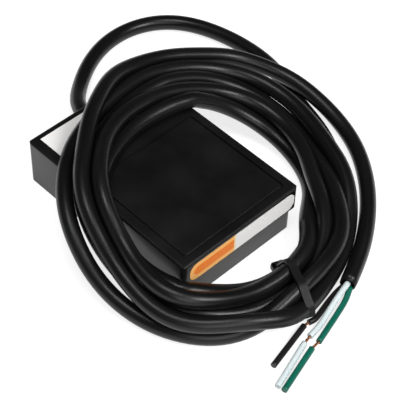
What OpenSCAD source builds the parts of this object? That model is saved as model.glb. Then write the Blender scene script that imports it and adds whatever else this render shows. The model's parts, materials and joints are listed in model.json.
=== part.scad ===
// Block-style proximity sensor: a square sensing head on a narrower base, a full-height cable end and
// its own cable, coiled and tied.
// The origin is at the centre of the mounting face. X runs from the cable end to the labelled end,
// Y across the sensor, and Z up to the sensing face.

/* [Housing] */
// Overall length from the cable end to the labelled end
housing_l = 120; // [119:0.5:121]
// Width across the sensing head and the cable end
housing_w = 82; // [80:0.5:84]
// Height from the mounting face to the sensing face
housing_h = 29; // [28.5:0.5:30]
// Wall thickness of the moulded housing
wall = 3; // [2.6:0.1:3.2]
// Radius of the upright corners
corner_r = 2.6; // [1.5:0.1:4]
// Radius of the edge round the sensing face
edge_r = 1.4; // [0.8:0.1:2]

/* [Sensing head] */
// Length of the square head, which stands over the base
head_l = 80; // [78:0.5:82]
// Height of the skirt of the head
skirt_h = 15.5; // [15:0.5:16]
// Distance from the edges of the head to the groove round the face
face_margin = 4.6; // [4:0.1:6]
// Width of that groove
groove_w = 1.3; // [0.8:0.1:1.8]
// Depth of that groove
groove_d = 1; // [0.6:0.1:1.2]
// Radius of the pot core behind the face
core_r = 27; // [22:0.5:28]

/* [Base] */
// How far the base stands in from each side of the head
base_inset = 3.5; // [3:0.25:4.5]
// Radius of the upright corners of the base
base_corner_r = 4; // [2:0.5:5]
// Spacing of the four threaded inserts, both ways
insert_pitch = 44; // [40:1:46]
// Outside radius of a threaded insert
insert_r = 3.2; // [3:0.1:3.4]
// Radius of the thread of an insert
thread_r = 2; // [1.5:0.1:2.2]

/* [Labels] */
// Height of the label strip on the labelled end
strip_h = 11.8; // [10:0.2:12.2]
// Length of the label strip
strip_l = 75; // [70:1:76]
// Length of its orange part
orange_l = 32; // [20:1:40]
// Thickness of a label
label_t = 0.4; // [0.2:0.1:0.5]

/* [Cable] */
// Outside diameter of the cable jacket
cable_d = 7.5; // [7.5:0.1:7.6]
// Diameter of a conductor with its insulation
wire_d = 3.2; // [2.8:0.1:3.2]
// Diameter of the bare strands
strand_d = 1.4; // [1:0.1:1.8]

/* [Hidden] */

plastic = "#1b1b1c";
copper = "#b5713c";
slack = 0.1;                                // clearance between pieces that slip together
x_out = housing_l / 2;                      // labelled end
x_in = -housing_l / 2;                      // cable end
head_x = x_out - head_l;                    // where the head meets the cable end
base_h = housing_h - skirt_h;
base_w = housing_w - 2 * base_inset;
roof_z = housing_h - 4.5;                   // underside of the roof of the head
head_mid = head_x + head_l / 2;
core_x = head_mid - 2;                      // axis of the sensing coil
face_t = 2.5;                               // thickness of the face plate
face_w = housing_w - 2 * face_margin - 1.2;
rim_z = base_h + 2.5;                       // top of the rim of the base, inside the skirt
gasket_t = 1.2;
tray_floor = 3.5;
tray_wall = 2.5;
tray_x0 = head_x + 0.2;                     // inner end of the base
cavity_x1 = x_out - 6;                      // end of the space inside the head, at the labelled end
cavity_x0 = tray_x0 + tray_wall;
cavity_w = base_w - 2 * tray_wall;
bay_x0 = x_in + wall;                       // cable bay, inside the cable end
bay_x1 = head_x - 2.5;
bay_w = housing_w - 2 * wall;
bay_roof = housing_h - 2.5;
boss_r = 4;
screw_r = 1.5;
screw_head_r = 2.8;
screw_head_h = 1.5;
head_posts = [for (x = [head_x + 8, x_out - 10.5], y = [-30, 30]) [x, y]];
bay_posts = [for (x = [bay_x0 + 4.2, bay_x1 - 4.2], y = [-33.5, 33.5]) [x, y]];
inserts = [for (x = [-0.5, 0.5], y = [-0.5, 0.5]) [core_x + x * insert_pitch, y * insert_pitch]];
insert_l = 7;
standoffs = [for (y = [-1, 1]) each [[cavity_x0 + 3.5, 18 * y], [cavity_x1 - 3.5, 18 * y], [core_x, 31 * y]]];
board_z = 9;
board_t = 1.6;
terminal_z = board_z + board_t + 3.2;       // the conductors go into the terminal block here
spacer_h = 3.4;
core_z = board_z + board_t + spacer_h;
core_h = roof_z - core_z - slack;
exit_y = 4;                                 // the cable leaves the cable end here
exit_z = 12;
bush_out = 5;                               // how far the bush stands out of the cable end
stub_in = 15;                               // length of jacket inside the cable bay
core_offset = 1.85;                         // from the middle of the jacket to each conductor
clamp_x = x_in + 10;
clamp_posts = [for (y = [-9, 9]) [clamp_x, exit_y + y]];
strip_mid = 1;                              // the strip sits a little off centre
strip_y0 = strip_mid - strip_l / 2;
strip_z0 = base_h + 1.1;
label_x = x_in + 3.6;
label_w = 70.8;
label_l = 25;

// Route of the free cable from the bush to the coil
lead_route = [[-65, 4, 12], [-69, 4, 12], [-76, 6, 10.5], [-84, 12, 7], [-92, 20, 4.5], [-101, 33, 3.8],
              [-109, 48, 3.8], [-114, 64, 3.8], [-112, 80, 3.8], [-104, 95, 3.8], [-90, 106, 3.8],
              [-72, 112, 3.8], [-52, 115, 3.8], [-32, 116, 3.8], [-14, 112, 4], [0, 104, 5]];
// Route of the last stretch, from the coil to the end of the jacket
tail_route = [[6, 108, 8.5], [20, 112, 5.5], [38, 109.5, 3.8], [56, 99.5, 3.8], [70, 88, 3.8], [82, 75, 3.8],
              [93, 61, 3.8], [102, 45, 3.8], [109.6, 27.3, 3.8]];
// Routes of the three conductors outside the jacket
black_route = [[108.1, 26.9, 2.9], [108, 21.5, 2.1], [109, 14.5, 1.7], [110.6, 7.5, 1.7], [112.4, 1.8, 1.7]];
white_route = [[109.6, 27.4, 5.6], [111.2, 20.5, 5.2], [112.6, 14, 4.2], [114.4, 7, 2.9], [116.2, 0, 1.8],
               [117.5, -9, 1.7]];
green_route = [[111.1, 27.9, 2.9], [114.5, 20.5, 1.7], [117.2, 12, 1.7], [120, 2, 1.7], [122.8, -8.2, 1.7]];
// Pulled-off slugs of insulation at the tips: start, end
black_tip = [[111.2, -6, 1.7], [117.6, -34.8, 1.7]];
white_tip = [[118.5, -13.8, 1.7], [127.2, -42.2, 1.7]];
green_tip = [[123.2, -13.5, 1.7], [131, -41.6, 1.7]];

// Shape of the tied coil as it lies over the sensor and on the ground. It is measured round a point of
// the ground plane, and each row is [inner radius, outer radius, underside, top, fall], every 20 degrees.
// The fall is how much lower the bundle lies at its outer edge.
coil_centre = [30, 3];
coil_turn = 44.5;
tie_angle = -43;                            // place of the tie round the coil
tie_slant = -22;                            // its turn away from the line to the middle of the coil
tie_w = 4.8;
tie_t = 1.2;
tie_gap = 0.6;
coil_rows = [[52, 84, 0, 15, 0], [57, 87, 0, 15, 0], [62.5, 96, 0, 16, 0], [67, 115, 0, 17, 0],
             [65.5, 115, 14.5, 25, 0.5], [58, 108, 27.8, 36, 4], [52.5, 96.5, 29.7, 40, -1],
             [50, 82.5, 29.3, 45, 0], [48.5, 79, 29.2, 43.5, 0], [48.5, 78.5, 29.5, 42.5, 0.6],
             [48.8, 77, 24, 38, 4], [45.1, 74, 11, 26.5, 7.5], [46.5, 73, 4.5, 23, 12],
             [53.6, 76, 3.5, 22.5, 12], [47, 80.5, 1.5, 16.5, 4], [44.8, 80.6, 0.2, 15, 0],
             [46.3, 78.9, 2.2, 17, 0], [48.5, 79.5, 0, 16, 0]];

// Blends four neighbouring rows or points smoothly
function blend(a, b, c, d, t) =
    0.5 * (2 * b + (c - a) * t + (2 * a - 5 * b + 4 * c - d) * t * t + (3 * b - a - 3 * c + d) * t * t * t);
function coil_row(s, n = len(coil_rows)) =
    let (i = floor(s), t = s - i, at = function(k) coil_rows[(k + n) % n])
    blend(at(i - 1), at(i), at(i + 1), at(i + 2), t);
function rounded(c) = sign(c) * pow(abs(c), 0.6);
// Points of the bundle's cross-section, which is a rounded rectangle that never goes below the ground
function coil_ring(k, rings, sides) =
    let (row = coil_row(k / rings * len(coil_rows)), a = coil_turn + 360 * k / rings,
         mid_r = (row[0] + row[1]) / 2, half_r = (row[1] - row[0]) / 2,
         mid_z = (row[2] + row[3]) / 2, half_z = (row[3] - row[2]) / 2)
    [for (j = [0 : sides - 1])
        let (b = 360 * j / sides,
             r = mid_r + half_r * rounded(cos(b)),
             z = mid_z + half_z * rounded(sin(b)) - row[4] / 2 * rounded(cos(b)))
        [coil_centre[0] + r * cos(a), coil_centre[1] + r * sin(a), max(z, 0)]];

function unit(v) = v / norm(v);
// Points of a smooth curve through the route, with a number of steps between its points
function curve(p, steps) =
    let (n = len(p), at = function(i) i < 0 ? 2 * p[0] - p[1] : i > n - 1 ? 2 * p[n - 1] - p[n - 2] : p[i])
    [for (i = [0 : n - 2], k = [0 : steps - 1]) blend(at(i - 1), at(i), at(i + 1), at(i + 2), k / steps),
     p[n - 1]];
function tube_ring(c, i, r, sides) =
    let (n = len(c),
         along = unit(c[min(i + 1, n - 1)] - c[max(i - 1, 0)]),
         side = unit(cross(along, [0, 0, 1])),
         top = cross(side, along))
    [for (j = [0 : sides - 1]) c[i] + r * (cos(360 * j / sides) * side + sin(360 * j / sides) * top)];

module skin(rings, closed = false) {
    n = len(rings[0]);
    m = len(rings);
    sides = [for (i = [0 : m - (closed ? 1 : 2)], j = [0 : n - 1])
                [i * n + j, i * n + (j + 1) % n, (i + 1) % m * n + (j + 1) % n, (i + 1) % m * n + j]];
    ends = closed ? [] : [[for (j = [0 : n - 1]) n - 1 - j], [for (j = [0 : n - 1]) (m - 1) * n + j]];
    polyhedron([for (ring = rings) each ring], concat(sides, ends), convexity = 6);
}

module tube(route, d, steps = 1, sides = 10) {
    c = curve(route, steps);
    skin([for (i = [0 : len(c) - 1]) tube_ring(c, i, d / 2, sides)]);
}

// Rectangle with round corners, centred
module rounded_plan(l, w, r) {
    square([l - 2 * r, w], center = true);
    square([l, w - 2 * r], center = true);
    for (x = [-1, 1], y = [-1, 1]) translate([x * (l / 2 - r), y * (w / 2 - r)]) circle(r, $fn = 48);
}

// Outline of a side view whose two upper corners are round
module crowned_profile(w, h, r) {
    translate([-w / 2, 0]) square([w, h - r]);
    translate([r - w / 2, 0]) square([w - 2 * r, h]);
    for (x = [-1, 1]) translate([x * (w / 2 - r), h - r]) circle(r, $fn = 48);
}

// Block with round upright corners and a round edge at the top
module soft_block(l, w, h, corner, edge) {
    intersection() {
        linear_extrude(h) rounded_plan(l, w, corner);
        translate([-l / 2, 0, 0]) rotate([90, 0, 90]) linear_extrude(l) crowned_profile(w, h, edge);
        translate([0, w / 2, 0]) rotate([90, 0, 0]) linear_extrude(w) crowned_profile(l, h, edge);
    }
}

module box(x0, x1, w, z0, z1) {
    translate([x0, -w / 2, z0]) cube([x1 - x0, w, z1 - z0]);
}

// Capsule-like outline of the label strip, extruded along X
module strip_outline(y0, y1, grow = 0, over = 0) {
    r = strip_h / 2 + grow;
    intersection() {
        translate([x_out - label_t, strip_mid, strip_z0 + strip_h / 2]) rotate([90, 0, 90])
            linear_extrude(label_t + over) rounded_plan(strip_l + 2 * grow, 2 * r, r - 1);
        translate([x_out - 2, y0, 0]) cube([4, y1 - y0, housing_h]);
    }
}

// Everything on the cable where it leaves the housing is turned about this axis, pointing outwards
module on_exit() {
    translate([x_in, exit_y, exit_z]) rotate([0, -90, 0]) children();
}

module housing_shell() {
    ledge_z = rim_z + gasket_t;             // the gasket is pressed against this ledge
    color(plastic) difference() {
        union() {
            difference() {
                soft_block(housing_l, housing_w, housing_h, corner_r, edge_r);
                box(head_x, x_out + 1, housing_w + 2, -1, base_h);             // room for the base
                box(head_x, x_out - 3.3, base_w + 2 * slack, base_h - 1, ledge_z);
                box(cavity_x0, cavity_x1, cavity_w, base_h - 1, roof_z);       // sensing head
                box(bay_x0, bay_x1, bay_w, -1, bay_roof);                      // cable bay
            }
            for (p = head_posts) post(p, tray_floor, roof_z, boss_r);
            for (p = bay_posts) post(p, tray_floor, bay_roof, boss_r);
            for (p = clamp_posts) post(p, exit_z, bay_roof, 3.4);
            translate([clamp_x - 2, exit_y - 4, exit_z + cable_d / 2]) cube([4, 8, bay_roof - exit_z - 3]);
        }
        for (p = concat(head_posts, bay_posts)) post(p, tray_floor - 1, tray_floor + 11, screw_r + 0.05);
        for (p = clamp_posts) post(p, exit_z - 1, exit_z + 9, 1.25);
        wire_way();
        translate([0, 0, housing_h - face_t]) face_pocket();
        strip_outline(-housing_w / 2, housing_w / 2, 0.1, 1);
        translate([label_x, -label_w / 2, housing_h - label_t]) cube([label_l, label_w, 1]);
        on_exit() translate([0, 0, -wall - 1]) cylinder(h = wall + 2, r = 6, $fn = 60);
    }
}

module post(p, z0, z1, r) {
    translate([p[0], p[1], z0]) cylinder(h = z1 - z0, r = r, $fn = 36);
}

// Opening between the cable bay and the head that lets the conductors through
module wire_way() {
    translate([bay_x1 - 1, exit_y - 8.5, 12]) cube([cavity_x0 - bay_x1 + 2, 17, roof_z - 12]);
}

module face_pocket() {
    translate([head_mid, 0, 0])
        linear_extrude(face_t + 1) rounded_plan(head_l - 2 * face_margin, face_w, 2.4);
}

module face_plate() {
    l = head_l - 2 * face_margin - 2 * slack;
    w = face_w - 2 * slack;
    color("#1f1f20") translate([head_mid, 0, housing_h - face_t]) {
        linear_extrude(face_t - groove_d) rounded_plan(l, w, 2.3);
        soft_block(l - 2 * groove_w, w - 2 * groove_w, face_t, 1.6, 0.4);
    }
}

module base_tray() {
    l = x_out - tray_x0;
    color(plastic) difference() {
        union() {
            translate([tray_x0 + l / 2, 0, base_h]) mirror([0, 0, 1])
                soft_block(l, base_w, base_h, base_corner_r, 1.5);
            box(tray_x0 + 0.3, x_out - 3.4, base_w - 0.6, base_h - 1, rim_z);  // rim inside the skirt
        }
        difference() {
            box(cavity_x0, cavity_x1, cavity_w, tray_floor, rim_z + 1);
            for (p = inserts) post(p, 0, insert_l + 1.5, insert_r + 2.2);
            for (p = standoffs) post(p, 0, board_z, 2.6);
        }
        wire_way();
        for (p = head_posts) screw_hole(p);
        for (p = inserts) post(p, -1, insert_l, insert_r);
    }
}

// Clearance hole with a counterbore from below
module screw_hole(p) {
    post(p, -1, tray_floor + 1, screw_r + 0.2);
    post(p, -1, screw_head_h + 0.2, screw_head_r + 0.3);
}

module end_plate() {
    l = bay_x1 - bay_x0 - 2 * slack;
    color(plastic) difference() {
        translate([(bay_x0 + bay_x1) / 2, 0, 0])
            linear_extrude(tray_floor) rounded_plan(l, bay_w - 2 * slack, 0.6);
        for (p = bay_posts) screw_hole(p);
    }
}

module head_gasket() {
    color("#2d2d2d") difference() {
        box(tray_x0 + 0.3, x_out - 3.4, base_w - 0.6, rim_z, rim_z + gasket_t);
        box(cavity_x0, cavity_x1, cavity_w, rim_z - 1, rim_z + gasket_t + 1);
        wire_way();
    }
}

module pot_core() {
    web = 3;
    color("#3c3c3e") translate([core_x, 0, core_z]) rotate_extrude($fn = 96) difference() {
        translate([3, 0]) square([core_r - 3, core_h]);
        translate([10, web]) square([core_r - 10 - web, core_h]);
    }
}

module core_spacer() {
    color("#d8d3c4") translate([core_x, 0, board_z + board_t]) rotate_extrude($fn = 72)
        translate([core_r - 6, 0]) square([4, spacer_h]);
}

module coil_bobbin() {
    flange = 0.8;
    h = core_h - 3.1;
    color("#cdb88a") translate([core_x, 0, core_z + 3]) rotate_extrude($fn = 96) {
        translate([10.1, 0]) square([1, h]);
        for (z = [0, h - flange]) translate([10.1, z]) square([core_r - 13.3, flange]);
    }
}

module coil_winding() {
    color(copper) translate([core_x, 0, core_z + 3.8]) rotate_extrude($fn = 96)
        translate([11.2, 0.05]) square([core_r - 14.8, core_h - 4.8]);
}

module circuit_board() {
    color("#1e6b3a") difference() {
        box(cavity_x0 + 0.5, cavity_x1 - 0.5, cavity_w - 1, board_z, board_z + board_t);
        for (p = head_posts) {
            post(p, board_z - 1, board_z + 4, boss_r + 0.5);
            translate([p[0] - boss_r - 0.5, p[1] > 0 ? p[1] : p[1] - 9, board_z - 1])
                cube([2 * boss_r + 1, 9, 4]);
        }
        for (y = [-12, 12]) post([core_x, y], board_z - 1, board_z + 4, 1.1);
    }
}

// Tall parts stand in the corners of the board that the round core leaves free
module board_parts() {
    top = board_z + board_t;
    for (y = [-19, 19]) {
        color("#27313f") post([cavity_x1 - 7, y], top, top + 11, 4);
        color("silver") post([cavity_x1 - 7, y], top + 11, top + 11.4, 3.4);
    }
    color("#222222") {
        translate([cavity_x0 + 1.6, -21, top]) cube([2.4, 5, 9]);
        for (y = [-33.7, 29.5]) translate([core_x - 6, y, top]) cube([12, 4.2, 2.6]);
    }
    color("#b8302c") for (x = [-14, 9]) translate([core_x + x, -31.5, top]) cube([5, 2.5, 2]);
    color("#c8a24a") for (x = [-16, 12]) translate([core_x + x, 30, top]) cube([3.2, 1.6, 1.2]);
}

module terminal_block() {
    top = board_z + board_t;
    color("#3c8f5a") difference() {
        translate([cavity_x0 + 1.2, exit_y - 8, top]) cube([6, 16, 8]);
        for (y = [-5, 0, 5]) {
            post([cavity_x0 + 4.2, exit_y + y], top + 5, top + 9, 1.6);
            translate([cavity_x0, exit_y + y, terminal_z]) rotate([0, 90, 0])
                cylinder(h = 4, r = 1.3, $fn = 24);
        }
    }
}

module base_potting() {
    color("#4a4238") difference() {
        box(cavity_x0 + slack, cavity_x1 - slack, cavity_w - 2 * slack, tray_floor, tray_floor + 3.7);
        for (p = inserts) post(p, 0, 20, insert_r + 2.3);
        for (p = head_posts) post(p, 0, 20, boss_r + slack);
        for (p = standoffs) post(p, 0, 20, 2.7);
    }
}

// Screw with its head down, the underside of the head at z = 0
module screw(head_r, head_h, r, l) {
    difference() {
        translate([0, 0, -head_h]) cylinder(h = head_h, r = head_r, $fn = 36);
        for (a = [0, 90]) rotate([0, 0, a])
            translate([-head_r * 0.55, -0.35, -head_h - 1]) cube([head_r * 1.1, 0.7, 1.7]);
    }
    translate([0, 0, -0.01]) cylinder(h = l, r = r, $fn = 32);
}

module cover_screws() {
    color("#9a9da2") for (p = concat(head_posts, bay_posts))
        translate([p[0], p[1], screw_head_h + 0.2]) screw(screw_head_r, screw_head_h, screw_r, 11);
}

module mount_inserts() {
    color("#c9a24c") for (p = inserts) translate([p[0], p[1], 0]) difference() {
        cylinder(h = insert_l, r = insert_r, $fn = 36);
        translate([0, 0, -1]) cylinder(h = insert_l + 2, r = thread_r, $fn = 40);
    }
}

module strip_orange() {
    color("#f08a24") strip_outline(strip_y0, strip_y0 + orange_l);
}

module strip_white() {
    color("#e9ecef") strip_outline(strip_y0 + orange_l, strip_y0 + strip_l);
}

module top_label() {
    color("#e9ecef") translate([label_x + 0.1, 0.1 - label_w / 2, housing_h - label_t])
        cube([label_l - 0.2, label_w - 0.2, label_t]);
}

// Rubber bush: a flange each side of the wall and a taper outside
module cable_bush() {
    r = cable_d / 2;
    color("#151515") on_exit() rotate_extrude($fn = 60) polygon([
        [r, -wall - 2.4], [7.6, -wall - 2.4], [8, -wall - 2], [8, -wall], [6, -wall], [6, 0], [7.6, 0],
        [7.6, 1.2], [6.3, 1.8], [r + 1.1, bush_out], [r, bush_out]]);
}

module cable_stub() {
    color("#141414") on_exit() translate([0, 0, -stub_in])
        cylinder(h = stub_in + bush_out, r = cable_d / 2, $fn = 60);
}

// Saddle that is screwed up against the cable from below
module cable_clamp() {
    h = 6.5;
    color("#2a2a2a") difference() {
        translate([clamp_x - 3.4, exit_y, exit_z - h]) rotate([90, 0, 90]) linear_extrude(6.8)
            polygon([[-12.4, h], [-12.4, 2], [-10.4, 0], [10.4, 0], [12.4, 2], [12.4, h]]);
        on_exit() translate([0, 0, -20]) cylinder(h = 20, r = cable_d / 2, $fn = 60);
        for (p = clamp_posts) post(p, exit_z - h - 1, exit_z + 1, 1.3);
    }
}

module clamp_screws() {
    color("#9a9da2") for (p = clamp_posts) translate([p[0], p[1], exit_z - 6.5]) screw(2.2, 1.4, 1.2, 14);
}

// Conductor from the cut end of the jacket to the terminal block
module inner_wire(angle, y) {
    x0 = x_in + stub_in;
    x1 = cavity_x0 + 1.2;
    y0 = exit_y + core_offset * cos(angle);
    z0 = exit_z + core_offset * sin(angle);
    tube([[x0, y0, z0], [x0 + 8, (2 * y0 + y) / 3, z0], [x1 - 10, y, terminal_z + 0.6],
          [x1 - 4, y, terminal_z], [x1, y, terminal_z]], wire_d, sides = 8);
}

module inner_black() { color("#1a1a1a") inner_wire(210, exit_y - 5); }
module inner_white() { color("#e8ecee") inner_wire(90, exit_y); }
module inner_green() { color("#0a6e50") inner_wire(330, exit_y + 5); }

module cable_lead() { color("#141414") tube(lead_route, cable_d, 2); }
module cable_tail() { color("#141414") tube(tail_route, cable_d); }

module cable_coil() {
    rings = 54;
    color("#141414") skin([for (k = [0 : rings - 1]) coil_ring(k, rings, 12)], closed = true);
}

module wire_black() { color("#1a1a1a") tube(black_route, wire_d, sides = 8); }
module wire_white() { color("#e8ecee") tube(white_route, wire_d, sides = 8); }
module wire_green() { color("#0a6e50") tube(green_route, wire_d, sides = 8); }

module bare_strands() {
    color(copper) for (pair = [[black_route, black_tip], [white_route, white_tip], [green_route, green_tip]])
        tube([pair[0][len(pair[0]) - 1], pair[1][0]], strand_d, sides = 8);
}

module tip_black() { color("#1a1a1a") tube(black_tip, wire_d, sides = 8); }
module tip_white() { color("#e8ecee") tube(white_tip, wire_d, sides = 8); }
module tip_green() { color("#0a6e50") tube(green_tip, wire_d, sides = 8); }

// The tie lies in an upright plane across the bundle: X outwards, Y up, from the bundle's middle
tie_row = coil_row((tie_angle + 360) / 20);
tie_l = (tie_row[1] - tie_row[0]) / cos(tie_slant) + 2 * tie_gap;
tie_h = tie_row[3] - tie_row[2] + 2 * tie_gap;

module on_tie() {
    translate([coil_centre[0], coil_centre[1], (tie_row[2] + tie_row[3]) / 2])
        rotate([0, 0, coil_turn + tie_angle]) translate([(tie_row[0] + tie_row[1]) / 2, 0, 0])
            rotate([90, 0, tie_slant]) children();
}

module cable_tie() {
    color("#101010") on_tie() linear_extrude(tie_w, center = true) difference() {
        rounded_plan(tie_l + 2 * tie_t, tie_h + 2 * tie_t, 5);
        rounded_plan(tie_l, tie_h, 4);
    }
}

// Head on the inner side of the bundle, with the slot that the strap goes through
module tie_head() {
    color("#101010") on_tie() translate([-tie_l / 2 - tie_t, -2.5, 0]) difference() {
        translate([-4.5, 0, -tie_w / 2 - 1]) cube([4.5, 5.5, tie_w + 2]);
        translate([-3, -1, 0.4 - tie_w / 2]) cube([1.4, 8, tie_w - 0.8]);
    }
}

housing_shell();
base_tray();
end_plate();
face_plate();
head_gasket();
pot_core();
core_spacer();
coil_bobbin();
coil_winding();
circuit_board();
board_parts();
terminal_block();
base_potting();
cover_screws();
mount_inserts();
strip_orange();
strip_white();
top_label();
cable_bush();
cable_stub();
cable_clamp();
clamp_screws();
inner_black();
inner_white();
inner_green();
cable_lead();
cable_coil();
cable_tail();
wire_black();
wire_white();
wire_green();
bare_strands();
tip_black();
tip_white();
tip_green();
cable_tie();
tie_head();
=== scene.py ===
import json
import math
import bpy
import bmesh
import numpy as np
from mathutils import Matrix, Vector


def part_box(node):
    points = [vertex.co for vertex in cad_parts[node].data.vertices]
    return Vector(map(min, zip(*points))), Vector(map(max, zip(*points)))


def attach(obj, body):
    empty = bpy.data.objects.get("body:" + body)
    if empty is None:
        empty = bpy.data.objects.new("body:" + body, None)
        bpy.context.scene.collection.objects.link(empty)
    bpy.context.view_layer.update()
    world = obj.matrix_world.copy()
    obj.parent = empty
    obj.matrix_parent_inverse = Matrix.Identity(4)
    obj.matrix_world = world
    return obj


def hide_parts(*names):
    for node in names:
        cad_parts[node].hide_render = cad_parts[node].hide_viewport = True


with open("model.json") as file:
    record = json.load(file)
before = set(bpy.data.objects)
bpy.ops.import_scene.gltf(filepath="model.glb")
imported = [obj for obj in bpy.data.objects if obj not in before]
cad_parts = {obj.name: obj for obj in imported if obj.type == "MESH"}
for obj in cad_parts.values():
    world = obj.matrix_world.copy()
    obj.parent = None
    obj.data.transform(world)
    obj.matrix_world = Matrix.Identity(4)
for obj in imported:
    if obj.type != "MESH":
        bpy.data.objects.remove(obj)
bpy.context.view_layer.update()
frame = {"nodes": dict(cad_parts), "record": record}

nodes = frame["nodes"]
mm = 0.001  # lengths below are in millimetres, and are scaled when a mesh is made

housingLow, housingHigh = (np.array(c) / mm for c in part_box("housing_shell"))


def smoothStep(t):
    t = np.clip(t, 0, 1)
    return t * t * (3 - 2 * t)


def curveThrough(points, steps):
    # a smooth curve that passes through every point
    p = np.array(points, float)
    p = np.vstack([2 * p[0] - p[1], p, 2 * p[-1] - p[-2]])
    found = []
    for i in range(1, len(p) - 2):
        for t in np.arange(steps) / steps:
            found.append(blendFour(p[i - 1], p[i], p[i + 1], p[i + 2], t))
    return np.array(found + [p[-2]])


def blendFour(a, b, c, d, t):
    square, cube = 2 * a - 5 * b + 4 * c - d, 3 * b - a - 3 * c + d
    return 0.5 * (2 * b + (c - a) * t + square * t * t + cube * t ** 3)


def evenSteps(path, step):
    run = np.r_[0, np.cumsum(np.linalg.norm(np.diff(path, axis=0), axis=1))]
    places = np.linspace(0, run[-1], int(round(run[-1] / step)) + 1)
    return np.stack([np.interp(places, run, path[:, k]) for k in range(3)], 1)


def pathLength(path):
    return float(np.linalg.norm(np.diff(path, axis=0), axis=1).sum())


# Camera
cameraSettings = {
    "lookAt": (19.7, 9.6, 8.8),
    "distance": 743,
    "azimuth": 44.48,
    "elevation": 48.12,
    "roll": 2.0,
    "lens": 126,
    "sensor": 36,
}


def makeCamera(s):
    az, el, roll = (math.radians(s[k]) for k in ("azimuth", "elevation", "roll"))
    back = Vector((math.sin(az) * math.cos(el), -math.cos(az) * math.cos(el), math.sin(el)))
    level = Vector((math.cos(az), math.sin(az), 0))
    upright = back.cross(level)
    right = level * math.cos(roll) + upright * math.sin(roll)
    up = back.cross(right)
    data = bpy.data.cameras.new("productCamera")
    data.lens = s["lens"]
    data.sensor_width = s["sensor"]
    data.clip_end = 20
    camera = bpy.data.objects.new("productCamera", data)
    bpy.context.scene.collection.objects.link(camera)
    place = (Vector(s["lookAt"]) + back * s["distance"]) * mm
    camera.matrix_world = Matrix.Translation(place) @ Matrix((right, up, back)).transposed().to_4x4()
    bpy.context.scene.camera = camera


makeCamera(cameraSettings)
print("camera placed")


# The cable: one length from the bush, round the coil and out to its stripped end.
# A row is the middle of the innermost and of the outermost cable in the bundle, each as radius and
# height, and there is a row every 20 degrees round the coil.
cableSettings = {
    "diameter": 9,
    "step": 4,
    "sides": 24,
    "centre": (30, 3),
    "firstAngle": 44.5,
    "turns": 5,
    "startAt": 60,
    "angleStep": 4,
    "mergeOver": 80,  # over how many degrees the turns settle into their lanes
    "tailFrom": -272,
    "exit": (-65, 4, 12),
    "lead": [(-65, 4, 12), (-69, 4, 12), (-76, 6, 10.8), (-84, 12, 7.5), (-91, 20, 5),
             (-100, 31.5, 4.55), (-107.2, 45, 4.55), (-111.4, 59, 4.55), (-112, 72, 4.55),
             (-109.2, 84.5, 4.55), (-103.5, 95.3, 4.55), (-95.3, 103.8, 4.55), (-84, 110, 4.55),
             (-67, 115.2, 4.55), (-50, 117.4, 4.55), (-32, 117, 4.55), (-14, 112, 4.55)],
    "under": [(60, 104.5), (40, 90), (20, 74), (5, 63), (-10, 57), (-22, 55)],
    "tail": [(84, 113, 24), (68, 113.5, 16), (60, 111, 12.5), (51, 109, 8.5), (43.5, 106.5, 5),
             (38, 103.8, 4.55), (26, 96.6, 4.55), (12.8, 90, 4.55), (5.8, 87.1, 4.55), (-1.5, 85, 4.55),
             (-8.8, 83.5, 4.55), (-16.4, 82.8, 4.55), (-22.6, 83, 4.55), (-27.5, 83.2, 4.55)],
    "rows": [(52, 4.55, 76, 4.55), (62, 4.55, 77, 5.5), (68.2, 5.5, 87, 9), (73.7, 9.5, 100.5, 13),
             (72.2, 21, 107, 22), (63.2, 33.6, 102.5, 31.5), (59, 33.6, 92, 33.8),
             (56.4, 33.6, 79.5, 33.8), (54.7, 33.6, 75, 33.6), (54.7, 33.6, 72.8, 33.6),
             (54.2, 31, 72.8, 29.5), (51.4, 19.5, 71.4, 14.3), (54.2, 20, 71.2, 6),
             (57.7, 22.8, 74.3, 4.55), (53.5, 13.8, 77, 4.55), (52.2, 5.5, 77.5, 4.6),
             (55, 6, 73.2, 6), (56.5, 5, 73.3, 4.8)],
    "underUntil": -22,
    "liftUntil": -30,  # up to there the others rise over the turn that slips in under them
    "liftWidth": 14,
    "liftHeight": 7.8,
    "swapOut": (-35, 60),  # where the last two turns change places, and over how many degrees
    "swapBack": (-200, 50),
    "overStart": (-67, 18),  # the humps with which one passes over the other
    "overEnd": (-225, 20),
    "overHeight": 6,
    "pairsFrom": (-215, 30),  # where the inner four turns stand two by two
    "pairsTo": (-95, 35),
    "rounds": 200,
    "clearance": 0.1,
    "tieMiddle": (93.3, 4.7),
    "tieHeading": -21,
    "tieLift": 1.45,
    "tieReach": 26,  # how far the strap's plane goes to each side of its middle
    "tieSpread": 12,
    "endRecess": (3.6, 1.5),  # radius and depth of the hollow at the cut end
    "endRounding": 0.25,
    "smoothing": 10,
    "sink": 0.06,
}


def roundCoil(angle, radius, height):
    a = math.radians(angle + cableSettings["firstAngle"])
    x, y = cableSettings["centre"]
    return [x + radius * math.cos(a), y + radius * math.sin(a), height]


def rowAt(angle):
    rows = np.array(cableSettings["rows"])
    place = angle % 360 / 20
    i = int(place)
    return blendFour(*(rows[(i + k) % len(rows)] for k in (-1, 0, 1, 2)), place - i)


def underRadius(angle):
    # the first turn slips in under the others, from outside the bundle to its inner edge
    angles, radii = zip(*reversed(cableSettings["under"]))
    return float(np.interp(angle, angles, radii))


def laneOf(turn, angle):
    # lane 0 is the innermost cable and lane 4 the outermost; the last two turns change places twice
    lane = float(turn)
    if turn > 0:
        lane -= 1 - smoothStep((cableSettings["startAt"] - angle) / cableSettings["mergeOver"])
    (out, outSpan), (back, backSpan) = cableSettings["swapOut"], cableSettings["swapBack"]
    swap = smoothStep((out - angle) / outSpan) - smoothStep((back - angle) / backSpan)
    return lane + {3: swap, 4: -swap}.get(turn, 0)


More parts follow.
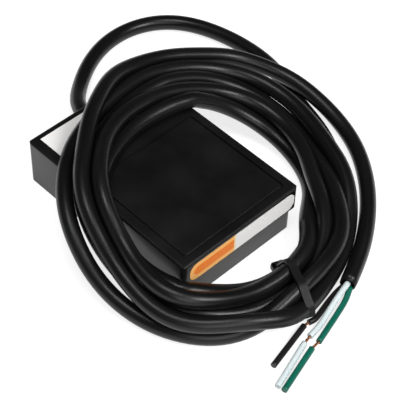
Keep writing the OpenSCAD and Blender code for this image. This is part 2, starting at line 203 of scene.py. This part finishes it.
def turnPoint(turn, angle):
    s = cableSettings
    row = rowAt(angle)
    inner, across = row[:2], row[2:] - row[:2]
    width = float(np.hypot(*across))
    spacing = width / (s["turns"] - 1)
    lane = laneOf(turn, angle)
    radius, height = inner + across * lane / (s["turns"] - 1)
    touch = s["diameter"] + s["clearance"]
    if spacing < touch:  # a narrow bundle stands in two layers, with every second lane on top
        top = 0.5 - 0.5 * math.cos(math.pi * lane)
        lift = math.sqrt(touch ** 2 - spacing ** 2)
        radius -= across[1] / width * lift * top
        height += across[0] / width * lift * top
        # over the cable end the inner four stand two by two, clear of the outermost
        (start, startSpan), (end, endSpan) = s["pairsFrom"], s["pairsTo"]
        apart = float(smoothStep((angle - start) / startSpan) * smoothStep((end - angle) / endSpan))
        apart *= min(s["turns"] - 1 - lane, 1)
        radius -= apart * ((spacing - touch / 2) * lane + top * touch / 2)
        height += apart * top * (touch - lift)
    if turn == 0 and angle > s["underUntil"]:
        return roundCoil(angle, underRadius(angle), s["diameter"] / 2)
    if angle > s["liftUntil"]:
        overlap = smoothStep(1.6 * (1 - abs(radius - underRadius(angle)) / s["liftWidth"]))
        height = max(height, s["diameter"] / 2 + s["liftHeight"] * float(overlap))
    if turn == 4:  # it passes over its neighbour at both crossings
        height += sum(s["overHeight"] * math.exp(-((angle - middle) / span) ** 2)
                      for middle, span in (s["overStart"], s["overEnd"]))
    return roundCoil(angle, radius, height)


def plannedCable():
    s = cableSettings
    turns = [(turn, angle) for turn in range(s["turns"])
             for angle in range(s["startAt"], s["startAt"] - 360, -s["angleStep"])
             if turn < s["turns"] - 1 or angle > s["tailFrom"]]
    return np.vstack([
        curveThrough(s["lead"], 6),
        [turnPoint(*t) for t in turns],
        curveThrough([roundCoil(*t) for t in s["tail"]], 6),
    ])


def pushOffHousing(points, radius):
    # moves points that are closer to the housing than the cable's radius
    low, high = housingLow * [1, 1, 0] - [0, 0, 50], housingHigh
    away = points - np.clip(points, low, high)
    gap = np.linalg.norm(away, axis=1)
    move = np.zeros_like(points)
    near = (gap > 1e-6) & (gap < radius)
    move[near] = away[near] * ((radius - gap[near]) / gap[near])[:, None]
    inside = gap <= 1e-6
    move[inside, 2] = high[2] + radius - points[inside, 2]
    return move


def tieFrame():
    # the strap's plane: a point of it, its direction outwards and its normal along the cable
    a = math.radians(cableSettings["tieHeading"])
    out = np.array([math.cos(a), math.sin(a)])
    return np.array(cableSettings["tieMiddle"]), out, np.array([-out[1], out[0]])


def keepOff(points, radius):
    # off the housing and the floor, and a little higher where the strap passes beneath
    points += pushOffHousing(points, radius)
    middle, out, normal = tieFrame()
    flat = points[:, :2] - middle
    off = np.where(np.abs(flat @ out) < cableSettings["tieReach"], flat @ normal, 100)
    lift = cableSettings["tieLift"] * np.exp(-(off / cableSettings["tieSpread"]) ** 2)
    points[:, 2] = np.maximum(points[:, 2], radius + lift)


def settle(planned):
    # lets the cable sink a little while it keeps off itself, the housing and the floor
    s = cableSettings
    radius = s["diameter"] / 2 + 0.02
    touch = s["diameter"] + s["clearance"]
    goal = evenSteps(planned, s["step"])
    for _ in range(s["smoothing"]):
        goal[1:-1] = goal[1:-1] / 2 + (goal[:-2] + goal[2:]) / 4
    count = len(goal)
    first, second = np.triu_indices(count, 8)
    p = goal.copy()
    for turn in range(s["rounds"]):
        if turn % 8 == 0:
            near = ((p[first] - p[second]) ** 2).sum(1) < (touch + 8) ** 2
            a, b = first[near], second[near]
        drift = p - goal
        for _ in range(2):
            drift[1:-1] = drift[1:-1] / 2 + (drift[:-2] + drift[2:]) / 4
        p = goal + drift * [0.98, 0.98, 0.99]
        p[:, 2] -= s["sink"] * (1 - turn / s["rounds"])
        for _ in range(4):
            apart = p[a] - p[b]
            gap = np.linalg.norm(apart, axis=1) + 1e-9
            short = np.maximum(touch - gap, 0) / gap / 2
            hits = np.bincount(a[short > 0], minlength=count) + np.bincount(b[short > 0], minlength=count)
            for k in range(3):
                push = apart[:, k] * short
                total = np.bincount(a, push, count) - np.bincount(b, push, count)
                p[:, k] += total * 1.2 / np.maximum(hits, 1) ** 0.6
            keepOff(p, radius)
        p[:2] = goal[:2]
    for _ in range(4):
        p[2:-1] = p[2:-1] / 2 + (p[1:-2] + p[3:]) / 4
    keepOff(p, radius)
    return p


def tubeMesh(name, path, radii, sides, recess=None):
    # a tube along the path, in millimetres; "jacket" holds (across, across, along) for its material,
    # and recess is the radius and depth of the hollow at its far end
    path = np.array(path, float)
    radii = np.broadcast_to(radii, len(path))
    along = np.gradient(path, axis=0)
    along /= np.linalg.norm(along, axis=1)[:, None]
    side = np.cross(along[0], (0, 0, 1))
    side /= np.linalg.norm(side)
    run = np.r_[0, np.cumsum(np.linalg.norm(np.diff(path, axis=0), axis=1))]
    rings = [(path[i], along[i], radii[i], run[i]) for i in range(len(path))]
    if recess:
        depth = along[-1] * recess[1]
        rings += [(end, along[-1], recess[0], run[-1]) for end in (path[-1], path[-1] - depth)]
    places, marks = [], []
    for centre, forward, radius, distance in rings:
        side = side - forward * side.dot(forward)
        side /= np.linalg.norm(side)
        top = np.cross(side, forward)
        for j in range(sides):
            c, n = math.cos(2 * math.pi * j / sides), math.sin(2 * math.pi * j / sides)
            places.append((centre + radius * (c * side + n * top)) * mm)
            marks.append((c * radius * mm, n * radius * mm, distance * mm))
    last = (len(rings) - 1) * sides
    faces = [(i + j, i + (j + 1) % sides, i + sides + (j + 1) % sides, i + sides + j)
             for i in range(0, last, sides) for j in range(sides)]
    faces += [tuple(range(sides))[::-1], tuple(range(last, last + sides))]
    piece = pieceFrom(name, places, faces, marks)
    for polygon in piece.data.polygons[(len(path) - 1) * sides:]:  # the ends keep sharp edges
        polygon.use_smooth = False
    return piece


def pieceFrom(name, places, faces, marks=None, smooth=True):
    mesh = bpy.data.meshes.new(name)
    mesh.from_pydata([tuple(p) for p in places], [], faces)
    if marks is not None:
        layer = mesh.attributes.new("jacket", "FLOAT_VECTOR", "POINT")
        layer.data.foreach_set("vector", np.array(marks, np.float32).ravel())
    shape = bmesh.new()
    shape.from_mesh(mesh)
    bmesh.ops.recalc_face_normals(shape, faces=shape.faces)
    shape.to_mesh(mesh)
    shape.free()
    for polygon in mesh.polygons:
        polygon.use_smooth = smooth and len(polygon.vertices) < 8
    piece = bpy.data.objects.new(name, mesh)
    bpy.context.scene.collection.objects.link(piece)
    return piece


cablePath = settle(plannedCable())
print("cable settled, length", round(pathLength(cablePath)), "mm")


# Materials: a finish for each slot, and small functions that build its nodes
class Finish:
    def __init__(self, name):
        self.material = bpy.data.materials.new(name)
        self.material.use_nodes = True
        self.tree = self.material.node_tree
        self.tree.nodes.clear()
        self.shader = self.add("BsdfPrincipled")
        self.tree.links.new(self.shader.outputs[0], self.add("OutputMaterial").inputs[0])

    def add(self, kind, sockets=(), links=(), **properties):
        node = self.tree.nodes.new("ShaderNode" + kind)
        for key, value in properties.items():
            setattr(node, key, value)
        for key, value in dict(sockets).items():
            node.inputs[key].default_value = value
        for key, source in dict(links).items():
            self.tree.links.new(source, node.inputs[key])
        return node

    def place(self, stretch=(1, 1, 1), attribute=None):
        if attribute:
            source = self.add("Attribute", attribute_name=attribute).outputs["Vector"]
        else:
            source = self.add("TexCoord").outputs["Object"]
        return self.add("Mapping", {"Scale": stretch}, {"Vector": source}).outputs[0]

    def noise(self, place, scale, detail=3, rough=0.5):
        sockets = {"Scale": scale, "Detail": detail, "Roughness": rough}
        return self.add("TexNoise", sockets, {"Vector": place}).outputs["Fac"]

    def ramp(self, value, low, high, start=0.3, end=0.7):
        sockets = {"From Min": start, "From Max": end, "To Min": low, "To Max": high}
        return self.add("MapRange", sockets, {"Value": value}).outputs[0]

    def tint(self, value, first, second):
        mix = self.add("Mix", links={"Factor": value}, data_type="RGBA")
        mix.inputs["A"].default_value = (*first, 1)
        mix.inputs["B"].default_value = (*second, 1)
        return mix.outputs["Result"]

    def over(self, value, under, colour):
        mix = self.add("Mix", links={"Factor": value, "A": under}, data_type="RGBA")
        mix.inputs["B"].default_value = (*colour, 1)
        return mix.outputs["Result"]

    def bump(self, height, depth, under=None):
        node = self.add("Bump", {"Distance": depth, "Strength": 1}, {"Height": height})
        if under:
            self.tree.links.new(under, node.inputs["Normal"])
        return node.outputs[0]

    def set(self, **sockets):
        names = {"colour": "Base Color", "roughness": "Roughness", "metal": "Metallic",
                 "specular": "Specular IOR Level", "coat": "Coat Weight",
                 "coatRoughness": "Coat Roughness", "normal": "Normal"}
        for key, value in sockets.items():
            socket = self.shader.inputs[names[key]]
            if isinstance(value, bpy.types.NodeSocket):
                self.tree.links.new(value, socket)
            else:
                socket.default_value = (*value, 1) if key == "colour" else value


def mouldedFinish(name, s):
    # plastic or rubber from a mould: fine grain, slow changes of shine, faint dust
    f = Finish(name)
    place = f.place(attribute=s.get("attribute"), stretch=s.get("stretch", (1, 1, 1)))
    fine = f.noise(place, s["grain"], 4, 0.6)
    broad = f.noise(place, s.get("patches", 60), 3)
    tone = f.add("Math", {1: 0.35}, {0: fine, 2: broad}, operation="MULTIPLY_ADD").outputs[0]
    f.set(
        colour=f.tint(f.ramp(tone, 0, 1, 0.45, 0.95), s["colour"], s["light"]),
        roughness=f.ramp(broad, s["rough"][0], s["rough"][1]),
        specular=s.get("specular", 0.5),
        coat=s.get("coat", 0.0),
        coatRoughness=0.2,
        normal=f.bump(broad, s.get("wave", 0.00002), f.bump(fine, s["depth"])),
    )
    return f.material


def metalFinish(name, s):
    f = Finish(name)
    place = f.place(stretch=s.get("stretch", (1, 1, 1)), attribute=s.get("attribute"))
    scratch = f.noise(place, s["grain"], 5, 0.7)
    stain = f.noise(f.place(), 140, 3)
    f.set(
        colour=f.tint(f.ramp(stain, 0, 1), s["colour"], s["dark"]),
        roughness=f.ramp(scratch, s["rough"][0], s["rough"][1]),
        metal=1.0,
        normal=f.bump(scratch, s["depth"]),
    )
    return f.material


def windingFinish(name, s):
    # enamelled wire laid in rings round the core's axis
    f = Finish(name)
    low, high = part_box("coil_winding")
    middle = (low + high) / 2
    source = f.add("TexCoord").outputs["Object"]
    centred = f.add("Mapping", {"Location": (-middle.x, -middle.y, 0)}, {"Vector": source}).outputs[0]
    sockets = {"Scale": 1 / s["wire"] / 3.2, "Distortion": 0.4, "Detail": 1}
    rings, layers = (f.add("TexWave", sockets, {"Vector": centred}, **way).outputs["Fac"]
                     for way in ({"wave_type": "RINGS", "rings_direction": "Z"}, {"bands_direction": "Z"}))
    both = f.add("Math", links={0: rings, 1: layers}, operation="MINIMUM").outputs[0]
    f.set(
        colour=f.tint(both, s["dark"], s["colour"]),
        roughness=f.ramp(both, 0.4, 0.25, 0, 1),
        metal=1.0,
        normal=f.bump(both, s["wire"] / 3),
    )
    return f.material


def boardFinish(name, s):
    # solder mask with faint tracks under it
    f = Finish(name)
    place = f.place()
    cells = f.add("TexBrick", {"Scale": 90, "Mortar Size": 0.04, "Brick Width": 1.6, "Row Height": 0.35},
                  {"Vector": place}).outputs["Fac"]
    spread = f.noise(place, 300, 3)
    f.set(
        colour=f.tint(cells, s["colour"], s["track"]),
        roughness=f.ramp(spread, 0.3, 0.45),
        coat=0.3,
        coatRoughness=0.15,
        normal=f.bump(cells, 0.00003, f.bump(spread, 0.00001)),
    )
    return f.material


def labelFinish(name, s):
    # printed film: a paler rim, slow ripples and a little dust
    f = Finish(name)
    place = f.place()
    ripple = f.noise(place, 90, 2)
    dust = f.noise(place, 2600, 4, 0.7)
    colour = f.tint(f.ramp(dust, 0, 0.5, 0.5, 0.8), s["colour"], s["shade"])
    if "rim" in s:
        colour = stripRim(f, s, colour)
    f.set(
        colour=colour,
        roughness=f.ramp(ripple, s["rough"][0], s["rough"][1]),
        specular=s["specular"],
        coat=s["coat"],
        coatRoughness=0.12,
        normal=f.bump(ripple, 0.00004, f.bump(dust, 0.000006)),
    )
    return f.material


def stripRim(f, s, colour):
    # the distance from the middle line of the strip, which has round ends, tells the rim from the rest
    ends = [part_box(n) for n in ("strip_orange", "strip_white")]
    low, high = ends[0][0], ends[1][1]
    half = (high.z - low.z) / 2
    parts = f.add("SeparateXYZ", links={0: f.add("TexCoord").outputs["Object"]})
    between = {"Min": low.y + half, "Max": high.y - half}
    inside = f.add("Clamp", between, {"Value": parts.outputs["Y"]}).outputs[0]
    across = f.add("Math", links={0: parts.outputs["Y"], 1: inside}, operation="SUBTRACT").outputs[0]
    up = f.add("Math", {1: low.z + half}, {0: parts.outputs["Z"]}, operation="SUBTRACT").outputs[0]
    both = f.add("CombineXYZ", links={0: across, 1: up}).outputs[0]
    distance = f.add("VectorMath", links={0: both}, operation="LENGTH").outputs["Value"]
    edge = f.ramp(distance, 0, 1, half - s["rimWidth"] * 1.3, half - s["rimWidth"])
    colour = f.over(edge, colour, s["rim"])
    # a pale line where it meets the other colour
    meet, width = ends[0][1].y, s["divideWidth"]
    near = f.ramp(parts.outputs["Y"], 0, 1, meet - width, meet - width / 2)
    return f.over(near, colour, s["divide"])


housingFinish = {"colour": (0.003, 0.003, 0.003), "light": (0.0065, 0.0063, 0.0062), "rough": (0.32, 0.42),
                 "specular": 0.42, "grain": 2600, "patches": 45, "depth": 0.000022, "wave": 0.00002}
faceFinish = {**housingFinish, "light": (0.007, 0.0068, 0.0067), "grain": 2200}
jacketFinish = {"colour": (0.0035, 0.0035, 0.0037), "light": (0.0065, 0.0065, 0.0068), "rough": (0.27, 0.37),
                "specular": 0.32, "grain": 1800, "patches": 420, "depth": 0.000015, "wave": 0.00006,
                "attribute": "jacket", "stretch": (1, 1, 0.06)}
wireFinish = {"rough": (0.28, 0.4), "specular": 0.35, "grain": 1500, "patches": 700, "depth": 0.00001,
              "wave": 0.00003, "attribute": "jacket", "stretch": (1, 1, 0.08)}
finishes = {
    "black_housing": (mouldedFinish, housingFinish),
    "face_plastic": (mouldedFinish, faceFinish),
    "gasket_rubber": (mouldedFinish, {"colour": (0.02, 0.02, 0.02), "light": (0.04, 0.04, 0.04),
                                      "rough": (0.6, 0.8), "grain": 1800, "depth": 0.00003}),
    "ferrite": (mouldedFinish, {"colour": (0.03, 0.03, 0.033), "light": (0.07, 0.07, 0.075),
                                "rough": (0.45, 0.65), "grain": 3200, "depth": 0.00004}),
    "spacer_plastic": (mouldedFinish, {"colour": (0.6, 0.56, 0.46), "light": (0.68, 0.64, 0.55),
                                       "rough": (0.4, 0.5), "grain": 1500, "depth": 0.00001}),
    "bobbin_plastic": (mouldedFinish, {"colour": (0.5, 0.38, 0.2), "light": (0.6, 0.48, 0.28),
                                       "rough": (0.4, 0.55), "grain": 1500, "depth": 0.00001}),
    "copper": (windingFinish, {"colour": (0.78, 0.36, 0.18), "dark": (0.3, 0.1, 0.04), "wire": 0.00025}),
    "board": (boardFinish, {"colour": (0.01, 0.1, 0.035), "track": (0.02, 0.19, 0.07)}),
    "component_black": (mouldedFinish, {"colour": (0.012, 0.012, 0.014), "light": (0.03, 0.03, 0.032),
                                        "rough": (0.4, 0.55), "grain": 2600, "depth": 0.00001}),
    "terminal_plastic": (mouldedFinish, {"colour": (0.03, 0.2, 0.08), "light": (0.05, 0.27, 0.12),
                                         "rough": (0.35, 0.45), "grain": 1400, "depth": 0.00001}),
    "potting": (mouldedFinish, {"colour": (0.03, 0.022, 0.015), "light": (0.06, 0.045, 0.03),
                                "rough": (0.12, 0.25), "grain": 500, "patches": 90, "depth": 0.00002,
                                "wave": 0.0002}),
    "steel": (metalFinish, {"colour": (0.6, 0.61, 0.63), "dark": (0.42, 0.43, 0.46), "rough": (0.25, 0.42),
                            "grain": 1800, "depth": 0.00001}),
    "brass": (metalFinish, {"colour": (0.76, 0.55, 0.22), "dark": (0.5, 0.33, 0.12), "rough": (0.22, 0.4),
                            "grain": 1600, "depth": 0.00001}),
    "label_orange": (labelFinish, {"colour": (0.85, 0.2, 0.01), "shade": (0.8, 0.26, 0.04),
                                   "divide": (0.9, 0.72, 0.42), "divideWidth": 0.0016,
                                   "rim": (0.95, 0.47, 0.13), "rimWidth": 0.0024,
                                   "coat": 0.03, "specular": 0.1, "rough": (0.35, 0.45)}),
    "label_white": (labelFinish, {"colour": (0.84, 0.83, 0.82), "shade": (0.76, 0.75, 0.74), "coat": 0.1,
                                  "specular": 0.25, "rough": (0.3, 0.45)}),
    "bush_rubber": (mouldedFinish, {"colour": (0.008, 0.008, 0.008), "light": (0.016, 0.016, 0.016),
                                    "rough": (0.5, 0.65), "grain": 1500, "depth": 0.00003}),
    "cable_jacket": (mouldedFinish, jacketFinish),
    "clamp_plastic": (mouldedFinish, {"colour": (0.02, 0.02, 0.02), "light": (0.035, 0.035, 0.035),
                                      "rough": (0.45, 0.55), "grain": 2000, "depth": 0.00002}),
    "wire_black": (mouldedFinish, {**wireFinish, "colour": (0.005, 0.0045, 0.0045),
                                   "light": (0.012, 0.01, 0.01)}),
    "wire_white": (mouldedFinish, {**wireFinish, "colour": (0.53, 0.61, 0.63), "light": (0.6, 0.66, 0.67)}),
    "wire_green": (mouldedFinish, {**wireFinish, "colour": (0.0, 0.085, 0.055), "light": (0.0, 0.13, 0.085)}),
    "tie_plastic": (mouldedFinish, {"colour": (0.004, 0.004, 0.004), "light": (0.008, 0.008, 0.008),
                                    "rough": (0.4, 0.5), "specular": 0.22, "grain": 900, "depth": 0.00001}),
}
materials = {slot: make(slot, settings) for slot, (make, settings) in finishes.items()}
print("materials made:", len(materials))


def dress(piece, slot):
    piece.data.materials.clear()
    piece.data.materials.append(materials[slot])
    return piece


def addPiece(piece, slot, *replaced):
    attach(dress(piece, slot), "root")
    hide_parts(*replaced)
    return piece


for part in frame["record"]["subparts"]:
    dress(nodes[part["node"]], part["material_slot"])
print("frame dressed:", len(nodes), "nodes")


# Cable
radii = np.full(len(cablePath), cableSettings["diameter"] / 2)
radii[-1] -= cableSettings["endRounding"]
cable = addPiece(tubeMesh("cable", cablePath, radii, cableSettings["sides"], cableSettings["endRecess"]),
                 "cable_jacket", "cable_lead", "cable_coil", "cable_tail")

# Conductors beyond the jacket: the insulation is cut round, and its end slug pulled along the strands
wireSettings = {
    "diameter": 3.2,
    "sides": 16,
    "strand": 0.46,
    "lay": 12,
    "wires": {  # the route of each conductor, then the two ends of its slug
        "black": ([(108.1, 26.9, 2.9), (108, 21.5, 2.1), (109, 14.5, 1.7), (110.6, 7.5, 1.7),
                   (111.9, 1.2, 1.7), (111.3, -3.2, 1.7)],
                  [(111, -6.2, 1.7), (117.4, -35, 1.7)]),
        "white": ([(109.6, 27.4, 5.6), (111.2, 20.5, 5.2), (112.6, 14, 4.2), (114.4, 7, 2.9),
                   (116.2, 0, 1.8), (117.5, -9, 1.7)],
                  [(118.5, -13.8, 1.7), (127.2, -42.2, 1.7)]),
        "green": ([(111.1, 27.9, 2.9), (114.5, 20.5, 1.7), (117.2, 12, 1.7), (120, 2, 1.7),
                   (122.8, -8.2, 1.7)],
                  [(123.2, -13.5, 1.7), (131, -41.6, 1.7)]),
    },
}


def strandBundle(name, gaps):
    # seven bare strands in each gap, six of them twisted round the middle one
    s = wireSettings
    made = []
    for start, end in gaps:
        start, end = np.array(start, float), np.array(end, float)
        forward = (end - start) / np.linalg.norm(end - start)
        side = np.cross(forward, (0, 0, 1))
        top = np.cross(side, forward)
        run = np.linspace(-0.5, np.linalg.norm(end - start) + 0.5, 14)
        for k in range(7):
            spin = 2 * math.pi * (run / s["lay"] + k / 6)
            reach = 0 if k == 6 else s["strand"]
            path = start + run[:, None] * forward
            path = path + reach * (np.cos(spin)[:, None] * side + np.sin(spin)[:, None] * top)
            made.append(tubeMesh(name, path, s["strand"] / 2, 8))
    return joined(name, made)


def joined(name, parts):
    shape = bmesh.new()
    for part in parts:
        shape.from_mesh(part.data)
        bpy.data.objects.remove(part)
    mesh = bpy.data.meshes.new(name)
    shape.to_mesh(mesh)
    shape.free()
    piece = bpy.data.objects.new(name, mesh)
    bpy.context.scene.collection.objects.link(piece)
    return piece


gaps = []
for colour, (route, tip) in wireSettings["wires"].items():
    radius = wireSettings["diameter"] / 2
    path = evenSteps(curveThrough(route, 10), 1.2)
    addPiece(tubeMesh(colour + "Conductor", path, radius, wireSettings["sides"]),
                            "wire_" + colour, "wire_" + colour)
    slug = evenSteps(np.array(tip, float), 1.2)
    addPiece(tubeMesh(colour + "Slug", slug, radius, wireSettings["sides"]),
                            "wire_" + colour, "tip_" + colour)
    gaps.append((route[-1], tip[0]))
addPiece(strandBundle("bareStrands", gaps), "copper", "bare_strands")
print("conductors made")


# Tie round the coil
tieSettings = {
    "width": 4.8,
    "thickness": 1.2,
    "gap": 0.15,
    "head": (4.5, 7.4, 4.6),  # out from the strap, along the cable, up
    "headHeight": 2.6,
    "headEdge": 0.7,
    "headRecess": 1.4,
    "stub": 2.2,
    "edge": 0.25,
    "offFloor": 0.15,
}


def crossings():
    # where the cable passes through the strap's plane, as places along its direction and heights
    middle, out, normal = tieFrame()
    flat = cablePath[:, :2] - middle
    ahead, off = flat @ out, flat @ normal
    found = []
    for i in np.nonzero((off[:-1] * off[1:] <= 0) & (np.abs(ahead[:-1]) < cableSettings["tieReach"]))[0]:
        t = off[i] / (off[i] - off[i + 1])
        found.append([values[i] * (1 - t) + values[i + 1] * t for values in (ahead, cablePath[:, 2])])
    return np.array(found)


def convexOutline(points):
    points = sorted(map(tuple, points))

    def half(points):
        line = []
        for p in points:
            while len(line) > 1 and np.cross(np.subtract(line[-1], line[-2]), np.subtract(p, line[-2])) <= 0:
                line.pop()
            line.append(p)
        return line[:-1]

    return np.array(half(points) + half(points[::-1]))


def resample(outline, count):
    closed = np.vstack([outline, outline[:1]])
    run = np.r_[0, np.cumsum(np.linalg.norm(np.diff(closed, axis=0), axis=1))]
    places = np.linspace(0, run[-1], count, endpoint=False)
    return np.stack([np.interp(places, run, closed[:, k]) for k in range(2)], 1)


def onTie(along, up, across=0):
    middle, out, normal = tieFrame()
    return np.array([*(middle + out * along + normal * across), up]) * mm


def makeTie(s):
    # the strap is drawn tight round the cables that it crosses
    found = crossings()
    circle = np.array([(math.cos(a), math.sin(a)) for a in np.linspace(0, 2 * math.pi, 36, endpoint=False)])
    inner = cableSettings["diameter"] / 2 + s["gap"]
    count = 120
    near, far = (resample(convexOutline(np.vstack([c + circle * (inner + extra) for c in found])), count)
                 for extra in (0, s["thickness"]))
    half = s["width"] / 2
    profile = [(0, -half), (1, -half + s["edge"]), (1, half - s["edge"]), (0, half)]
    places = []
    for i in range(count):
        for k, across in profile:
            along, up = near[i] * (1 - k) + far[i] * k
            places.append(onTie(along, max(up, s["offFloor"]), across))
    faces = [(i * 4 + j, i * 4 + (j + 1) % 4, (i + 1) % count * 4 + (j + 1) % 4, (i + 1) % count * 4 + j)
             for i in range(count) for j in range(4)]
    return pieceFrom("tieStrap", places, faces, smooth=False), far


strap, tieOutline = makeTie(tieSettings)
addPiece(strap, "tie_plastic", "cable_tie")


def softBlock(shape, size, place, bevel):
    made = bmesh.ops.create_cube(shape, size=1)["verts"]
    bmesh.ops.scale(shape, vec=size, verts=made)
    bmesh.ops.translate(shape, vec=place, verts=made)
    edges = [edge for edge in shape.edges if set(edge.verts) <= set(made)]
    return bmesh.ops.bevel(shape, geom=edges, offset=bevel, segments=3, affect="EDGES")["faces"]


def makeTieHead(s):
    # a block with soft edges and a recess round the strap, whose cut end stands out of it
    shape = bmesh.new()
    softBlock(shape, s["head"], (0, 0, 0), s["headEdge"])
    top = max(shape.faces, key=lambda face: (face.normal.z > 0.9) * face.calc_area())
    bmesh.ops.inset_individual(shape, faces=[top], thickness=0.8)
    bmesh.ops.translate(shape, verts=top.verts, vec=(0, 0, -s["headRecess"]))
    stub = (s["thickness"], s["width"] - 0.4, s["head"][2] + s["stub"] - 0.6)
    softBlock(shape, stub, (0.3, 0, s["stub"] / 2), 0.2)
    mesh = bpy.data.meshes.new("tieHead")
    shape.to_mesh(mesh)
    shape.free()
    head = bpy.data.objects.new("tieHead", mesh)
    bpy.context.scene.collection.objects.link(head)
    middle, out, normal = tieFrame()
    low = tieOutline[tieOutline[:, 1] < s["headHeight"] + s["head"][2] / 2]
    place = Matrix.Translation(onTie(low[:, 0].min() - s["head"][0] / 2 + 0.15, s["headHeight"]))
    turn = Matrix((Vector((*out, 0)), Vector((*normal, 0)), Vector((0, 0, 1)))).transposed().to_4x4()
    mesh.transform(place @ turn @ Matrix.Scale(mm, 4))
    return head


addPiece(makeTieHead(tieSettings), "tie_plastic", "tie_head")
print("tie made")


# Floor, world and lamps
studioSettings = {
    "floorSize": 6.0,
    "floorColour": (0.4, 0.4, 0.4),
    "floorGlow": 0.77,
    "ambient": 0.42,
    "horizon": 0.15,
    "ceiling": 0.02,
    "fadeFrom": 0.15,
    "fadeTo": 0.55,
    "lamps": [  # where it stands, where it points, its size in metres and its radiance
        ("overhead", (0.06, -0.16, 1.1), (0.02, 0.0, 0.02), 0.4, 7.5),
        ("sideKey", (0.78, 0.12, 0.88), (0.03, 0.0, 0.02), 0.4, 15),
        ("frontFill", (1.0, -0.75, 0.7), (0.03, 0.0, 0.02), 0.9, 2.6),
    ],
}


def makeFloor(s):
    half = s["floorSize"] / 2
    corners = [(-half, -half), (half, -half), (half, half), (-half, half)]
    floor = pieceFrom("studioFloor", [(x, y, -0.0002) for x, y in corners], [(0, 1, 2, 3)])
    material = bpy.data.materials.new("studioFloor")
    material.use_nodes = True
    tree = material.node_tree
    tree.nodes.clear()
    diffuse = tree.nodes.new("ShaderNodeBsdfDiffuse")
    diffuse.inputs["Color"].default_value = (*s["floorColour"], 1)
    glow = tree.nodes.new("ShaderNodeEmission")
    rays = tree.nodes.new("ShaderNodeLightPath")
    seen = addUp(tree, addUp(tree, rays.outputs["Is Camera Ray"], rays.outputs["Is Glossy Ray"]),
                 rays.outputs["Is Transmission Ray"])
    strength = tree.nodes.new("ShaderNodeMath")
    strength.operation = "MULTIPLY"
    tree.links.new(seen, strength.inputs[0])
    strength.inputs[1].default_value = s["floorGlow"]
    tree.links.new(strength.outputs[0], glow.inputs["Strength"])
    both = tree.nodes.new("ShaderNodeAddShader")
    tree.links.new(diffuse.outputs[0], both.inputs[0])
    tree.links.new(glow.outputs[0], both.inputs[1])
    tree.links.new(both.outputs[0], tree.nodes.new("ShaderNodeOutputMaterial").inputs[0])
    floor.data.materials.append(material)


def addUp(tree, first, second):
    node = tree.nodes.new("ShaderNodeMath")
    node.operation = "MAXIMUM"
    tree.links.new(first, node.inputs[0])
    tree.links.new(second, node.inputs[1])
    return node.outputs[0]


def makeWorld(s):
    # even light from all round; reflections see a pale horizon under a dark ceiling
    world = bpy.data.worlds.new("studio")
    bpy.context.scene.world = world
    world.use_nodes = True
    tree = world.node_tree
    tree.nodes.clear()
    rays = tree.nodes.new("ShaderNodeLightPath")
    direction = tree.nodes.new("ShaderNodeTexCoord")
    parts = tree.nodes.new("ShaderNodeSeparateXYZ")
    tree.links.new(direction.outputs["Generated"], parts.inputs[0])
    fade = tree.nodes.new("ShaderNodeMapRange")
    for key, name in (("From Min", "fadeFrom"), ("From Max", "fadeTo"),
                      ("To Min", "horizon"), ("To Max", "ceiling")):
        fade.inputs[key].default_value = s[name]
    tree.links.new(parts.outputs["Z"], fade.inputs["Value"])
    even, dome, white = (tree.nodes.new("ShaderNodeBackground") for _ in range(3))
    for background in (even, dome, white):
        background.inputs["Color"].default_value = (1, 1, 1, 1)
    even.inputs["Strength"].default_value = s["ambient"]
    tree.links.new(fade.outputs[0], dome.inputs["Strength"])
    shiny = tree.nodes.new("ShaderNodeMixShader")
    tree.links.new(rays.outputs["Is Glossy Ray"], shiny.inputs["Fac"])
    tree.links.new(even.outputs[0], shiny.inputs[1])
    tree.links.new(dome.outputs[0], shiny.inputs[2])
    seen = tree.nodes.new("ShaderNodeMixShader")
    direct = addUp(tree, rays.outputs["Is Camera Ray"], rays.outputs["Is Transmission Ray"])
    tree.links.new(direct, seen.inputs["Fac"])
    tree.links.new(shiny.outputs[0], seen.inputs[1])
    tree.links.new(white.outputs[0], seen.inputs[2])
    tree.links.new(seen.outputs[0], tree.nodes.new("ShaderNodeOutputWorld").inputs[0])


def makeLamp(name, place, aim, size, radiance):
    data = bpy.data.lights.new(name, "AREA")
    data.shape = "SQUARE"
    data.size = size
    data.energy = radiance * math.pi * size ** 2
    lamp = bpy.data.objects.new(name, data)
    lamp.location = place
    lamp.rotation_euler = (Vector(aim) - Vector(place)).to_track_quat("-Z", "Y").to_euler()
    bpy.context.scene.collection.objects.link(lamp)
    return lamp


makeFloor(studioSettings)
makeWorld(studioSettings)
for lampSettings in studioSettings["lamps"]:
    makeLamp(*lampSettings)
bpy.context.scene.view_settings.view_transform = "Standard"
print("studio ready")
